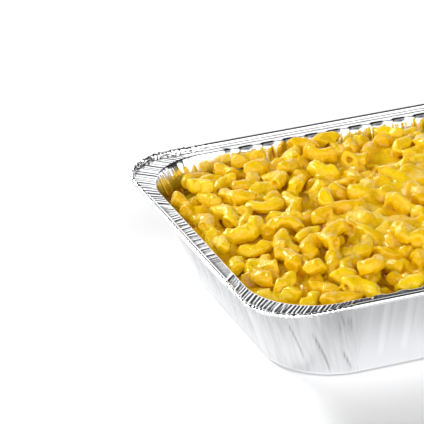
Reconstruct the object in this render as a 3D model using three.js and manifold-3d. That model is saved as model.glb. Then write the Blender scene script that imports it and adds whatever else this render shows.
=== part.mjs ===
// Foil tray meal: macaroni in cheese sauce, filling a half-size deep aluminium foil pan.
// Millimetres, +Z up. The origin is the centre of the pan's underside, and the long side runs along X.
import * as THREE from "three";
import { mergeVertices } from "three/addons/utils/BufferGeometryUtils.js";
import Module from "manifold-3d";

// ---------------------------------------------------------------- driving sizes
const PAN = {
  length: 325,
  width: 264,
  height: 66.2,
  wall: 0.6, // foil is 0.1 thick; the stand-in wall is thicker, so that it can collide
  rimWidth: 11.7, // outer edge of the bead to the top of the wall
  beadRadius: 2,
  beadCornerRadius: 36.9, // of the bead's centre line, seen from above
  rimDrop: 0.8, // the flat rim lies this far below the bead's centre
  mouthCornerRadius: 46,
  footInset: 31.3, // outer edge of the bead to the foot of the wall
  footCornerRadius: 45,
  footRise: 4, // height of the rounded turn between floor and wall
  footTurn: 5.2, // width of that turn
};
const FLUTE = {
  pitch: 16,
  depth: 1.1, // how far a flute swells out of, and into, the wall's plane
  samples: 4, // wall sections in one pitch
  crestsLong: 5, // flutes on each side of the middle one of a long wall
  crestsShort: 3,
  foot: 9, // height where the flutes reach full depth
  shoulder: 55, // height where they begin to fade
  top: 60, // height where they are gone
};
const CORNER_STEPS = 8;
const BEAD_SIDES = 8;
const UNDER_BEAD = -Math.PI / 2; // where the bead's section begins, an angle

const FOOD = {
  gap: 0.35, // clear space to the foil
  edgeLevel: 61.5, // tops of the noodles beside the wall
  crown: 4.5, // how much higher the middle is
  frontRise: 3, // the heap leans up towards the near long side
  cornerDip: 8, // how much lower it is in the far left corner
  otherCornerDip: 3,
  dipReach: 34,
  coreDrop: 5, // the bare core's top below the tops of the noodles
  rings: 7,
};
const ELBOW = {
  radius: 4.9, // the tube with the sauce on it
  bore: 2.4,
  boreDepth: 0.14, // as a part of the whole arc
  bendRadius: [10, 14],
  arc: [1.7, 2.5], // radians
  sides: 6,
  steps: 3,
  spacing: 20, // middle to middle
  tries: 6000,
  tilt: 0.42, // largest lean of the arc's plane, radians
  sink: [3.4, 5.6], // middle of the tube below the local level
  hollowShare: 0.2,
  moves: 6, // how often one is moved off the wall before it is left out
  moveMargin: 0.2,
};
const SETTLE_ROUNDS = 5;
const SEED = 20261124;

const FOIL = new THREE.MeshStandardMaterial({ color: 0xd9dade, roughness: 0.28, metalness: 1 });
const CHEESE = new THREE.MeshStandardMaterial({ color: 0xf2bd1d, roughness: 0.35, metalness: 0 });

// ---------------------------------------------------------------- helpers
const wasm = await Module();
wasm.setup();

// A seeded draw in 0..1 (a 32-bit linear congruential generator).
function makeDraw(seed) {
  let state = seed >>> 0;
  return () => {
    state = (Math.imul(state, 1664525) + 1013904223) >>> 0;
    return state / 4294967296;
  };
}

const mix = (a, b, t) => a + (b - a) * t;

function solidFrom(geometry) {
  const bare = geometry.clone();
  bare.deleteAttribute("normal");
  bare.deleteAttribute("uv");
  const merged = mergeVertices(bare, 1e-4);
  return new wasm.Manifold(
    new wasm.Mesh({
      numProp: 3,
      vertProperties: new Float32Array(merged.attributes.position.array),
      triVerts: new Uint32Array(merged.index.array),
    }),
  );
}

function geometryFrom(solid) {
  const mesh = solid.getMesh();
  const places = new Float32Array(mesh.numVert * 3);
  for (let i = 0; i < mesh.numVert; i++)
    places.set(mesh.vertProperties.subarray(i * mesh.numProp, i * mesh.numProp + 3), i * 3);
  const geometry = new THREE.BufferGeometry();
  geometry.setAttribute("position", new THREE.BufferAttribute(places, 3));
  geometry.setIndex(new THREE.BufferAttribute(new Uint32Array(mesh.triVerts), 1));
  geometry.computeVertexNormals();
  return geometry;
}

// ---------------------------------------------------------------- sections round the pan
// A station is one place on the way round. It is a turn on a corner arc, or a fixed distance along
// a straight side, so that flutes stand square to their wall. `coarse` stations carry the rim.
function stationsOfSide(side, crests) {
  const stations = [];
  const step = FLUTE.pitch / FLUTE.samples;
  const end = crests * FLUTE.pitch + step / 2;
  stations.push({ side, along: -end - step, swell: 0, coarse: false });
  for (let along = -end; along < end + step / 2; along += step)
    stations.push({
      side,
      along,
      swell: Math.sign(Math.cos((2 * Math.PI * along) / FLUTE.pitch)),
      coarse: false,
    });
  stations.push({ side, along: end + step, swell: 0, coarse: false });
  return stations;
}

function stationsOfCorner(corner) {
  const stations = [];
  for (let i = 0; i <= CORNER_STEPS; i++)
    stations.push({ corner, turn: i / CORNER_STEPS, swell: 0, coarse: true });
  return stations;
}

// Anticlockwise from above, starting at the middle of the right-hand side.
const STATIONS = [];
[FLUTE.crestsShort, FLUTE.crestsLong, FLUTE.crestsShort, FLUTE.crestsLong].forEach((crests, i) => {
  STATIONS.push(...stationsOfSide(i, crests), ...stationsOfCorner(i));
});

// The place of a station on a rounded rectangle that lies `inset` inside the pan's outer edge.
function placeOn(station, { inset, radius, z, swell = 0 }) {
  const halfX = PAN.length / 2 - inset;
  const halfY = PAN.width / 2 - inset;
  const out = swell * station.swell;
  if (station.corner === undefined) {
    const reach = (station.side % 2 ? halfY : halfX) + out;
    const quarter = (station.side * Math.PI) / 2;
    return new THREE.Vector3(reach, station.along, z).applyAxisAngle(
      new THREE.Vector3(0, 0, 1),
      quarter,
    );
  }
  const quarter = station.corner;
  const angle = (quarter + station.turn) * (Math.PI / 2);
  const signX = quarter === 0 || quarter === 3 ? 1 : -1;
  const signY = quarter < 2 ? 1 : -1;
  return new THREE.Vector3(
    signX * (halfX - radius) + radius * Math.cos(angle),
    signY * (halfY - radius) + radius * Math.sin(angle),
    z,
  );
}

// A closed skin through rings of stations, bottom ring first, with a flat lid on each end.
// Rings that hold only the coarse stations are joined to full ones by fans.
function loft(rings, firstMiddle, lastMiddle) {
  const places = [];
  const faces = [];
  const add = (p) => places.push(p.x, p.y, p.z) / 3 - 1;
  const laid = rings.map((ring) =>
    STATIONS.map((station) =>
      ring.coarse && !station.coarse ? null : add(placeOn(station, ring)),
    ),
  );
  const count = STATIONS.length;
  const nextOn = (ids, from) => {
    let k = from + 1;
    while (ids[k % count] === null) k++;
    return k;
  };
  const first = STATIONS.findIndex((station) => station.coarse);
  for (let r = 0; r + 1 < laid.length; r++) {
    const low = laid[r];
    const high = laid[r + 1];
    let a = first;
    let b = first;
    while (a < first + count || b < first + count) {
      const nextA = nextOn(low, a);
      const nextB = nextOn(high, b);
      const moveLow = nextA + a <= nextB + b;
      if (moveLow) {
        faces.push(low[a % count], low[nextA % count], high[b % count]);
        a = nextA;
      } else {
        faces.push(low[a % count], high[nextB % count], high[b % count]);
        b = nextB;
      }
    }
  }
  const lid = (ids, middle, up) => {
    const hub = add(middle);
    const ring = ids.filter((id) => id !== null);
    ring.forEach((id, i) => {
      const next = ring[(i + 1) % ring.length];
      faces.push(...(up ? [hub, id, next] : [hub, next, id]));
    });
  };
  lid(laid[0], firstMiddle, false);
  lid(laid[laid.length - 1], lastMiddle, true);
  const geometry = new THREE.BufferGeometry();
  geometry.setAttribute("position", new THREE.Float32BufferAttribute(places, 3));
  geometry.setIndex(faces);
  return geometry;
}

// ---------------------------------------------------------------- the foil pan
const RIM_Z = PAN.height - PAN.beadRadius - PAN.rimDrop;
const DRAFT = Math.atan2(PAN.footInset - PAN.rimWidth, RIM_Z - PAN.footRise);

// The wall's plane as a ring at height z, drawn in by `inward`.
function wallRing(z, inward, extra = {}) {
  const t = (z - PAN.footRise) / (RIM_Z - PAN.footRise);
  return {
    inset: mix(PAN.footInset, PAN.rimWidth, t) + inward,
    radius: mix(PAN.footCornerRadius, PAN.mouthCornerRadius, t) - inward,
    z,
    ...extra,
  };
}

// The turn from floor to wall. `lift` raises it by the foil, and `inward` draws it in.
function footRings(lift, inward) {
  const foot = wallRing(PAN.footRise, inward);
  const ring = (back, z) => ({
    inset: foot.inset + back,
    radius: foot.radius - back,
    z: z + lift,
    coarse: true,
  });
  const middle = Math.SQRT1_2;
  return [ring(PAN.footTurn, 0), ring(PAN.footTurn * (1 - middle), PAN.footRise * (1 - middle))];
}

function beadRings() {
  const centre = PAN.height - PAN.beadRadius;
  const rings = [];
  for (let i = 0; i < BEAD_SIDES - 1; i++) {
    const angle = UNDER_BEAD + (i * 2 * Math.PI) / BEAD_SIDES;
    const out = PAN.beadRadius * Math.cos(angle);
    rings.push({
      inset: PAN.beadRadius - out,
      radius: PAN.beadCornerRadius + out,
      z: centre + PAN.beadRadius * Math.sin(angle),
      coarse: true,
    });
  }
  return rings;
}

function makeTray() {
  const foil = PAN.wall;
  const outside = [
    ...footRings(0, 0),
    wallRing(PAN.footRise, 0),
    wallRing(FLUTE.foot, 0, { swell: FLUTE.depth }),
    wallRing(FLUTE.shoulder, 0, { swell: FLUTE.depth }),
    wallRing(FLUTE.top, 0),
    wallRing(RIM_Z - foil, 0, { coarse: true }),
  ];
  const inside = [
    wallRing(RIM_Z, foil, { coarse: true }),
    wallRing(FLUTE.top, foil),
    wallRing(FLUTE.shoulder, foil, { swell: FLUTE.depth }),
    wallRing(FLUTE.foot, foil, { swell: FLUTE.depth }),
    { ...wallRing(PAN.footRise, foil), z: PAN.footRise + foil },
    ...footRings(foil, foil).reverse(),
  ];
  // The lids of this skin are the floor's underside and the floor's inside.
  const skin = loft(
    [...outside, ...beadRings(), ...inside],
    new THREE.Vector3(0, 0, 0),
    new THREE.Vector3(0, 0, foil),
  );
  const tray = new THREE.Mesh(geometryFrom(solidFrom(skin)), FOIL);
  tray.name = "tray";
  return tray;
}

// ---------------------------------------------------------------- the heap of macaroni
// How high the tops of the noodles lie at x, y.
function levelAt(x, y) {
  const u = x / (PAN.length / 2 - PAN.rimWidth);
  const v = y / (PAN.width / 2 - PAN.rimWidth);
  const dome = Math.max(0, (1 - u * u) * (1 - v * v));
  let level = FOOD.edgeLevel + FOOD.crown * dome - FOOD.frontRise * v;
  for (const signX of [-1, 1])
    for (const signY of [-1, 1]) {
      const cornerX = signX * (PAN.length / 2 - PAN.footInset);
      const cornerY = signY * (PAN.width / 2 - PAN.footInset);
      const depth = signX < 0 && signY > 0 ? FOOD.cornerDip : FOOD.otherCornerDip;
      const far = Math.hypot(x - cornerX, y - cornerY) / FOOD.dipReach;
      level -= depth * Math.exp(-far * far);
    }
  return level;
}

// The ring just inside the foil at height z, clear of the flutes.
function pocketRing(z) {
  return wallRing(z, PAN.wall + FLUTE.depth + FOOD.gap, { coarse: true });
}

// Distance from x, y to the pocket's wall at height z, positive inside, and the way inwards.
function roomAt(x, y, z) {
  const ring = pocketRing(z);
  const cornerX = PAN.length / 2 - ring.inset - ring.radius;
  const cornerY = PAN.width / 2 - ring.inset - ring.radius;
  const outX = Math.max(0, Math.abs(x) - cornerX) * Math.sign(x);
  const outY = Math.max(0, Math.abs(y) - cornerY) * Math.sign(y);
  const far = Math.hypot(outX, outY);
  return {
    room: ring.radius - far,
    inward: far ? new THREE.Vector3(-outX / far, -outY / far, 0) : new THREE.Vector3(),
  };
}

// The bare core: the pocket's form, with a smooth top that lies a little below the noodles.
function makeCore() {
  const lift = PAN.wall + FOOD.gap;
  const low = pocketRing(PAN.footRise + lift);
  const tops = new Array(FOOD.rings).fill(pocketRing(RIM_Z));
  const coreTop = (x, y) => levelAt(x, y) - FOOD.coreDrop;
  const geometry = loft(
    [...footRings(lift, PAN.wall + FLUTE.depth + FOOD.gap), low, ...tops],
    new THREE.Vector3(0, 0, lift),
    new THREE.Vector3(0, 0, coreTop(0, 0)),
  );
  // Each place on the first top ring slides down its wall to the core's level. The others follow
  // it, shrunk towards the middle.
  const places = geometry.attributes.position;
  const around = STATIONS.filter((station) => station.coarse).length;
  for (let i = 0; i < around; i++) {
    const foot = new THREE.Vector3().fromBufferAttribute(places, 2 * around + i);
    const head = new THREE.Vector3().fromBufferAttribute(places, 3 * around + i);
    const brim = head.clone();
    for (let round = 0; round < SETTLE_ROUNDS; round++)
      brim.lerpVectors(foot, head, (coreTop(brim.x, brim.y) - foot.z) / (head.z - foot.z));
    for (let ring = 0; ring < FOOD.rings; ring++) {
      const left = 1 - ring / FOOD.rings;
      const [x, y] = [brim.x * left, brim.y * left];
      places.setXYZ((3 + ring) * around + i, x, y, coreTop(x, y));
    }
  }
  return solidFrom(geometry);
}

// The middle line of an elbow: an arc whose middle is at the origin, bending round +Y.
class ElbowArc extends THREE.Curve {
  constructor(bendRadius, arc, from = 0, to = 1) {
    super();
    Object.assign(this, { bendRadius, arc, from, to });
  }
  getPoint(t, target = new THREE.Vector3()) {
    const angle = (mix(this.from, this.to, t) - 0.5) * this.arc;
    return target.set(
      this.bendRadius * Math.sin(angle),
      this.bendRadius * (1 - Math.cos(angle)),
      0,
    );
  }
}

function tubeAlong(path, radius, steps) {
  const section = new THREE.Shape();
  for (let i = 0; i < ELBOW.sides; i++) {
    const angle = ((i + 0.5) * 2 * Math.PI) / ELBOW.sides;
    const [x, y] = [radius * Math.cos(angle), radius * Math.sin(angle)];
    if (i) section.lineTo(x, y);
    else section.moveTo(x, y);
  }
  section.closePath();
  return solidFrom(
    new THREE.ExtrudeGeometry(section, { steps, bevelEnabled: false, extrudePath: path }),
  );
}

// One elbow at rest in the heap, as an arc with its place and turn.
function layElbow(draw, x, y) {
  const bendRadius = mix(...ELBOW.bendRadius, draw());
  const arc = mix(...ELBOW.arc, draw());
  const turn = new THREE.Quaternion().setFromEuler(
    new THREE.Euler(
      ELBOW.tilt * (2 * draw() - 1),
      ELBOW.tilt * (2 * draw() - 1),
      2 * Math.PI * draw(),
      "ZYX",
    ),
  );
  const place = new THREE.Vector3(x, y, levelAt(x, y) - mix(...ELBOW.sink, draw()));
  const hollow = draw() < ELBOW.hollowShare;
  const path = new ElbowArc(bendRadius, arc);
  // It is moved off the wall, and left out if it finds no room.
  for (let round = 0; round < ELBOW.moves; round++) {
    let worst = { room: Infinity };
    for (const t of [0, 0.25, 0.5, 0.75, 1]) {
      const p = path.getPoint(t).applyQuaternion(turn).add(place);
      const here = roomAt(p.x, p.y, p.z);
      if (here.room < worst.room) worst = here;
    }
    const short = (ELBOW.radius + FOOD.gap) / Math.cos(DRAFT) - worst.room;
    if (short <= 0) return { bendRadius, arc, turn, place, hollow, path };
    place.addScaledVector(worst.inward, short + ELBOW.moveMargin);
  }
  return null;
}

function elbowSolid({ bendRadius, arc, turn, place, hollow, path }) {
  let solid = tubeAlong(path, ELBOW.radius, ELBOW.steps);
  if (hollow)
    for (const [from, to] of [
      [-ELBOW.boreDepth, ELBOW.boreDepth],
      [1 - ELBOW.boreDepth, 1 + ELBOW.boreDepth],
    ])
      solid = solid.subtract(tubeAlong(new ElbowArc(bendRadius, arc, from, to), ELBOW.bore, 1));
  const matrix = new THREE.Matrix4().compose(place, turn, new THREE.Vector3(1, 1, 1));
  return solid.transform(matrix.elements);
}

// Places for the elbows: random, evenly spread, none nearer its neighbours than the spacing.
function spreadElbows() {
  const draw = makeDraw(SEED);
  const laid = [];
  const halfX = PAN.length / 2 - PAN.rimWidth;
  const halfY = PAN.width / 2 - PAN.rimWidth;
  for (let i = 0; i < ELBOW.tries; i++) {
    const x = halfX * (2 * draw() - 1);
    const y = halfY * (2 * draw() - 1);
    const near = (p, q) => laid.some((e) => Math.hypot(e.place.x - p, e.place.y - q) < ELBOW.spacing);
    if (roomAt(x, y, FOOD.edgeLevel).room < ELBOW.radius || near(x, y)) continue;
    const elbow = layElbow(draw, x, y);
    if (elbow && !near(elbow.place.x, elbow.place.y)) laid.push(elbow);
  }
  return laid;
}

function makeMacaroni() {
  const joined = wasm.Manifold.union([makeCore(), ...spreadElbows().map(elbowSolid)]);
  // Small hollows that the fusing seals are filled: only the outermost skin is kept.
  const largest = joined.decompose().reduce((a, b) => (b.volume() > a.volume() ? b : a));
  const macaroni = new THREE.Mesh(geometryFrom(largest), CHEESE);
  macaroni.name = "macaroni";
  return macaroni;
}

// ---------------------------------------------------------------- the whole meal
const meal = new THREE.Group();
meal.add(makeTray(), makeMacaroni());

export default meal;
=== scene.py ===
"""Macaroni in cheese sauce, filling a half-size deep foil pan (Blender 4.5, metres, +Z up).

The foil is a finely wrinkled sheet and the heap is several hundred curved tubes under sauce.
Both are worked out here in millimetres and turned into meshes in metres.
"""

import math

import bpy
import numpy as np
import openvdb
from mathutils import Matrix, Vector


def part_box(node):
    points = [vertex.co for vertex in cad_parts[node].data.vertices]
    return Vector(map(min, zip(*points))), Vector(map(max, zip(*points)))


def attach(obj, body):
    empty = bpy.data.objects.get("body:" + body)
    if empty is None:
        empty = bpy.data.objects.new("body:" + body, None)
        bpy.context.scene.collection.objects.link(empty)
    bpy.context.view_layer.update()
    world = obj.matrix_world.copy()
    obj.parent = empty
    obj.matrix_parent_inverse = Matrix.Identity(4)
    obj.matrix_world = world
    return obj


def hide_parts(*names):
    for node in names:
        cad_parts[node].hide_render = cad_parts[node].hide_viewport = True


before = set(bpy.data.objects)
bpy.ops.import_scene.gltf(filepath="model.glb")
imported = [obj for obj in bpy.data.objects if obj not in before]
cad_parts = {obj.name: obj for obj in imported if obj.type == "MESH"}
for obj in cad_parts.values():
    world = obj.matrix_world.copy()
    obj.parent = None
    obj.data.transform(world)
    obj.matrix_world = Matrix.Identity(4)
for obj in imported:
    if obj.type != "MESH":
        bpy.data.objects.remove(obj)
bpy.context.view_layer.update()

MM = 0.001
SEED = 20261124

# ------------------------------------------------------------------ driving sizes, millimetres
TRAY_LOW, TRAY_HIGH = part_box("tray")
LENGTH, WIDTH, HEIGHT = ((TRAY_HIGH[i] - TRAY_LOW[i]) / MM for i in range(3))
HALF = np.array([LENGTH, WIDTH]) / 2

RIM_WIDTH = 11.7  # outer edge of the bead to the top of the wall
BEAD_RADIUS = 2.0
BEAD_CORNER = 36.9  # plan radius of the bead's centre line
RIM_DROP = 0.8  # the flat rim lies this far below the bead's centre
MOUTH_CORNER = 46.0
FOOT_INSET = 31.3
FOOT_CORNER = 45.0
FOOT_RISE = 4.0
FOOT_TURN = 5.2
FOIL = 0.3
LIP_RADIUS = 0.7  # of the turn from wall to rim
WIDE_LIP_RADIUS = 1.6  # of that turn between the wide flutes of a long side
DROOP = 0.55  # the flat rim falls this much on its way out to the bead, but for the far side
BEAD_TURN = (205.6, -130.0)  # where the bead leaves the flat rim and where it ends, degrees
RIM_Z = HEIGHT - BEAD_RADIUS - RIM_DROP
LIP_TURN = math.pi / 2 - math.atan2(FOOT_INSET - RIM_WIDTH, RIM_Z - FOOT_RISE)

# Wide flutes run up to the lip on the long sides, and fade out below it on the short ones.
# Narrow ones, halfway between them, stop short of it everywhere.
FLUTE_PITCH = 16.0
WIDE_DEPTH, WIDE_HALF = 0.9, (2.2, 4.4)  # inwards; half widths of the face and of the foot
WIDE_FADE = (50.0, 58.0)  # heights between which they fade out on the short sides
NARROW_DEPTH, NARROW_HALF = 0.8, (1.4, 3.6)
NARROW_TOP = 61.2
FLUTE_END = (87.0, 55.0)  # where they stop, from the middle of a long and of a short wall
CRUMPLED = (46.0, 56.0)  # the bead is crumpled up to here, along the mouth from a corner's middle
CORNER_SIGNS = np.array([(1, 1), (-1, 1), (-1, -1), (1, -1)])
DIAGONAL_REACH = (47.0, 57.0)  # up to here across a corner's diagonal, the rim's stations follow it
# Crimps across each corner's rim: first and last place either side of its diagonal, widths,
# slopes, and how far along its width each one's top lies.
CRIMPS = (
    (-42, 42, (2.2, 3.6), (0.12, 0.26), (0.4, 0.65)),
    (-27, 48, (2.2, 3.6), (0.05, 0.2), (0.8, 0.92)),
    (-47, 44, (1.8, 3.2), (0.12, 0.3), (0.24, 0.45)),
    (-42, 42, (2.2, 3.6), (0.12, 0.26), (0.3, 0.6)),
)
RIBS = (-52, 38, (1.8, 3.6), (0.03, 0.14), (0.78, 0.92))  # the same along the short sides
# Sharp folds in a corner's wall: place along the mouth, top, bottom.
FOLDS = ((-3.0, 46.0, 15.0), (12.5, 38.0, 5.0), (29.0, 22.0, 6.0))
CREASED = 43.0  # creases lie up to here, along the mouth from a corner's middle
CREASE_LINE = 0.6  # half width of a crease's line of painted shade
# The most painted shade that a crease's line gets
DARKEST_CREASE = 0.85
DENT_DEPTH, FINE_DENT_DEPTH = 0.14, 0.04
RIM_DENT_DEPTH = 0.008
BEAD_CRUMPLE = (1.1, 0.42)  # the crumpled bead shrinks with the crimps and with its own crinkles
BRIGHT = 0.93  # the foil's own grey, where no painted shade or shadow darkens it

# The mesh of the pan. Sides and corners count from the +X side, counterclockwise.
FLOOR_ROW = 14.0  # the floor's outer row lies this far in from the foot
FOOT_ROWS = 5
WALL_ROWS = ((FOOT_RISE, 46.0, 10), (51.5, 58.6, 3), (59.5, 61.6, 4))  # from, to, how many
LIP_ROWS = 5
RIM_ROWS = (0.03, 0.5, 0.97, 1.0)  # shares of the way over the flat rim
BEAD_ROWS = 11
BEAD_JOINT = 0.25  # the flat rim ends this far inside the bead
BEAD_FIRST_STEP = 4.0  # degrees
CORNER_STEPS = (78, 150, 146, 78)
SIDE_STEPS = (1.9, 1.15, 0.75, 1.15)  # millimetres along the fluted stretch
PLAIN_STEPS = 20


# ------------------------------------------------------------------ helpers
def smooth(low, high, x):
    t = np.clip((x - low) / (high - low), 0, 1)
    return t * t * (3 - 2 * t)


def mix(a, b, t):
    return a + (b - a) * t


def waves(seed, count, shortest, longest):
    """A smooth seeded noise: a sum of sines, mostly within -1.5 to 1.5."""
    rng = np.random.default_rng(seed)
    ways = rng.normal(size=(count, 3))
    ways /= np.linalg.norm(ways, axis=1)[:, None]
    ways *= (2 * np.pi / rng.uniform(shortest, longest, count))[:, None]
    phases = rng.uniform(0, 2 * np.pi, count)

    def noise(x, y, z=0.0):
        total = 0.0
        for way, phase in zip(ways, phases):
            total = total + np.sin(way[0] * x + way[1] * y + way[2] * z + phase)
        return total / math.sqrt(count)

    return noise


def mesh_object(name, places, face_sets, material):
    """A smooth-shaded piece from places in millimetres and arrays of quads or triangles."""
    sides = np.concatenate([np.full(len(faces), faces.shape[1]) for faces in face_sets])
    corners = np.concatenate([faces.ravel() for faces in face_sets])
    starts = np.concatenate([[0], np.cumsum(sides)[:-1]])
    mesh = bpy.data.meshes.new(name)
    mesh.vertices.add(len(places))
    mesh.vertices.foreach_set("co", (np.asarray(places, np.float64) * MM).ravel())
    mesh.loops.add(len(corners))
    mesh.loops.foreach_set("vertex_index", corners.astype(np.int32))
    mesh.polygons.add(len(sides))
    mesh.polygons.foreach_set("loop_start", starts.astype(np.int32))
    mesh.update(calc_edges=True)
    mesh.polygons.foreach_set("use_smooth", np.full(len(sides), True))
    mesh.materials.append(material)
    piece = bpy.data.objects.new(name, mesh)
    bpy.context.scene.collection.objects.link(piece)
    return piece


def apply_modifiers(piece):
    bpy.context.view_layer.objects.active = piece
    piece.select_set(True)
    for modifier in list(piece.modifiers):
        bpy.ops.object.modifier_apply(modifier=modifier.name)
    piece.select_set(False)


# ------------------------------------------------------------------ materials
class Nodes:
    """Short way to build a node tree."""

    def __init__(self, name):
        self.material = bpy.data.materials.new(name)
        self.material.use_nodes = True
        self.tree = self.material.node_tree
        self.shader = self.tree.nodes["Principled BSDF"]

    def add(self, kind, **values):
        node = self.tree.nodes.new(kind)
        for key, value in values.items():
            if hasattr(node, key):
                setattr(node, key, value)
            else:
                node.inputs[key.replace("_", " ")].default_value = value
        return node

    def link(self, source, target):
        self.tree.links.new(source, target)


def foil_material():
    n = Nodes("foil")
    # Painted shade, shadow, dark reflections and highlights: the stored value mixes the foil's colour from
    # near black to its own bright grey.
    brightness_and_painted_shade = n.add("ShaderNodeAttribute", attribute_name="brightness_and_painted_shade")
    colours = n.add("ShaderNodeMix", data_type="RGBA")
    n.link(brightness_and_painted_shade.outputs["Fac"], colours.inputs["Factor"])
    colours.inputs["A"].default_value = (0.02, 0.02, 0.02, 1)
    colours.inputs["B"].default_value = (0.95, 0.955, 0.97, 1)
    n.link(colours.outputs["Result"], n.shader.inputs["Base Color"])
    n.shader.inputs["Metallic"].default_value = 1.0
    place = n.add("ShaderNodeTexCoord")
    scratches = n.add("ShaderNodeTexNoise", Scale=900.0, Detail=3.0)
    stretch = n.add("ShaderNodeMapping", Scale=(0.12, 1.0, 1.0))
    n.link(place.outputs["Object"], stretch.inputs["Vector"])
    n.link(stretch.outputs["Vector"], scratches.inputs["Vector"])
    gloss = n.add("ShaderNodeMapRange", To_Min=0.09, To_Max=0.19)
    n.link(scratches.outputs["Fac"], gloss.inputs["Value"])
    n.link(gloss.outputs["Result"], n.shader.inputs["Roughness"])
    fine = n.add("ShaderNodeBump", Strength=0.25, Distance=0.00006)
    n.link(scratches.outputs["Fac"], fine.inputs["Height"])
    n.link(fine.outputs["Normal"], n.shader.inputs["Normal"])
    return n.material


def cheese_material():
    n = Nodes("cheese_sauce")
    tone = n.add("ShaderNodeAttribute", attribute_name="tone")
    gap = n.add("ShaderNodeAttribute", attribute_name="gap")
    noodles = n.add("ShaderNodeMix", data_type="RGBA")
    n.link(tone.outputs["Fac"], noodles.inputs["Factor"])
    noodles.inputs["A"].default_value = (0.80, 0.47, 0.001, 1)
    noodles.inputs["B"].default_value = (0.87, 0.60, 0.004, 1)
    colours = n.add("ShaderNodeMix", data_type="RGBA")
    n.link(gap.outputs["Fac"], colours.inputs["Factor"])
    n.link(noodles.outputs["Result"], colours.inputs["A"])
    # Painted shade: the gaps between the noodles are painted a darker orange-brown.
    colours.inputs["B"].default_value = (0.52, 0.17, 0.001, 1)
    n.link(colours.outputs["Result"], n.shader.inputs["Base Color"])
    n.shader.inputs["Roughness"].default_value = 0.15
    n.shader.inputs["Specular IOR Level"].default_value = 0.6
    n.shader.inputs["Specular Tint"].default_value = (1, 0.88, 0.62, 1)
    n.shader.inputs["Subsurface Weight"].default_value = 0.34
    n.shader.inputs["Subsurface Radius"].default_value = (1.0, 0.45, 0.06)
    n.shader.inputs["Subsurface Scale"].default_value = 0.003
    place = n.add("ShaderNodeTexCoord")
    lumps = n.add("ShaderNodeTexNoise", Scale=260.0, Detail=3.0)
    n.link(place.outputs["Object"], lumps.inputs["Vector"])
    bump = n.add("ShaderNodeBump", Strength=0.9, Distance=0.001)
    n.link(lumps.outputs["Fac"], bump.inputs["Height"])
    specks = n.add("ShaderNodeTexNoise", Scale=620.0, Detail=2.0)
    n.link(place.outputs["Object"], specks.inputs["Vector"])
    fine = n.add("ShaderNodeBump", Strength=0.9, Distance=0.0006)
    n.link(specks.outputs["Fac"], fine.inputs["Height"])
    n.link(bump.outputs["Normal"], fine.inputs["Normal"])
    n.link(fine.outputs["Normal"], n.shader.inputs["Normal"])
    return n.material


def floor_material():
    n = Nodes("studio_floor")
    n.shader.inputs["Base Color"].default_value = (0.93, 0.93, 0.93, 1)
    n.shader.inputs["Roughness"].default_value = 0.6
    return n.material


# ------------------------------------------------------------------ the foil pan
def wall_line(z):
    """Inset from the outer edge, and plan corner radius, of the wall's outside at height z."""
    t = (z - FOOT_RISE) / (RIM_Z - FOOT_RISE)
    return mix(FOOT_INSET, RIM_WIDTH, t), mix(FOOT_CORNER, MOUTH_CORNER, t)


def foil_profile():
    """Rows from the floor's edge to the bead's end: (inset, corner radius, height, zone, way across).

    The way across is 0 to 1 over the flat rim, and the angle round the lip and round the bead.
    """
    rows = []
    half_foil = FOIL / 2
    foot_inset, foot_corner = wall_line(FOOT_RISE)
    rows.append((foot_inset + FLOOR_ROW, foot_corner - FLOOR_ROW, half_foil, "floor", 0))
    for i in range(FOOT_ROWS):
        angle = i / FOOT_ROWS * math.pi / 2
        back = FOOT_TURN * (1 - math.sin(angle))
        rise = (FOOT_RISE - half_foil) * (1 - math.cos(angle)) + half_foil
        rows.append((foot_inset + half_foil + back, foot_corner - half_foil - back, rise, "foot", 0))
    for z in np.concatenate([np.linspace(*stretch) for stretch in WALL_ROWS]):
        inset, corner = wall_line(z)
        rows.append((inset + half_foil, corner - half_foil, z, "wall", 0))
    lip_inset = RIM_WIDTH - LIP_RADIUS * math.tan(LIP_TURN / 2)
    for angle in np.linspace(LIP_TURN, 0, LIP_ROWS):
        inset = lip_inset + LIP_RADIUS * math.sin(angle)
        z = RIM_Z - LIP_RADIUS * (1 - math.cos(angle))
        rows.append((inset, MOUTH_CORNER, z, "lip", angle))
    bead_in = 2 * BEAD_RADIUS - BEAD_JOINT
    for t in RIM_ROWS:
        inset = mix(lip_inset, bead_in, t)
        corner = mix(MOUTH_CORNER, BEAD_CORNER + BEAD_RADIUS - inset, t)
        rows.append((inset, corner, RIM_Z, "rim", t))
    centre = HEIGHT - BEAD_RADIUS
    radius = BEAD_RADIUS - half_foil
    first, last = BEAD_TURN
    turns = [first, *np.linspace(first - BEAD_FIRST_STEP, last, BEAD_ROWS)]
    for angle in np.radians(turns):
        out = radius * math.cos(angle)
        z = centre + radius * math.sin(angle)
        rows.append((BEAD_RADIUS - out, BEAD_CORNER + out, z, "bead", angle))
    return rows


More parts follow.
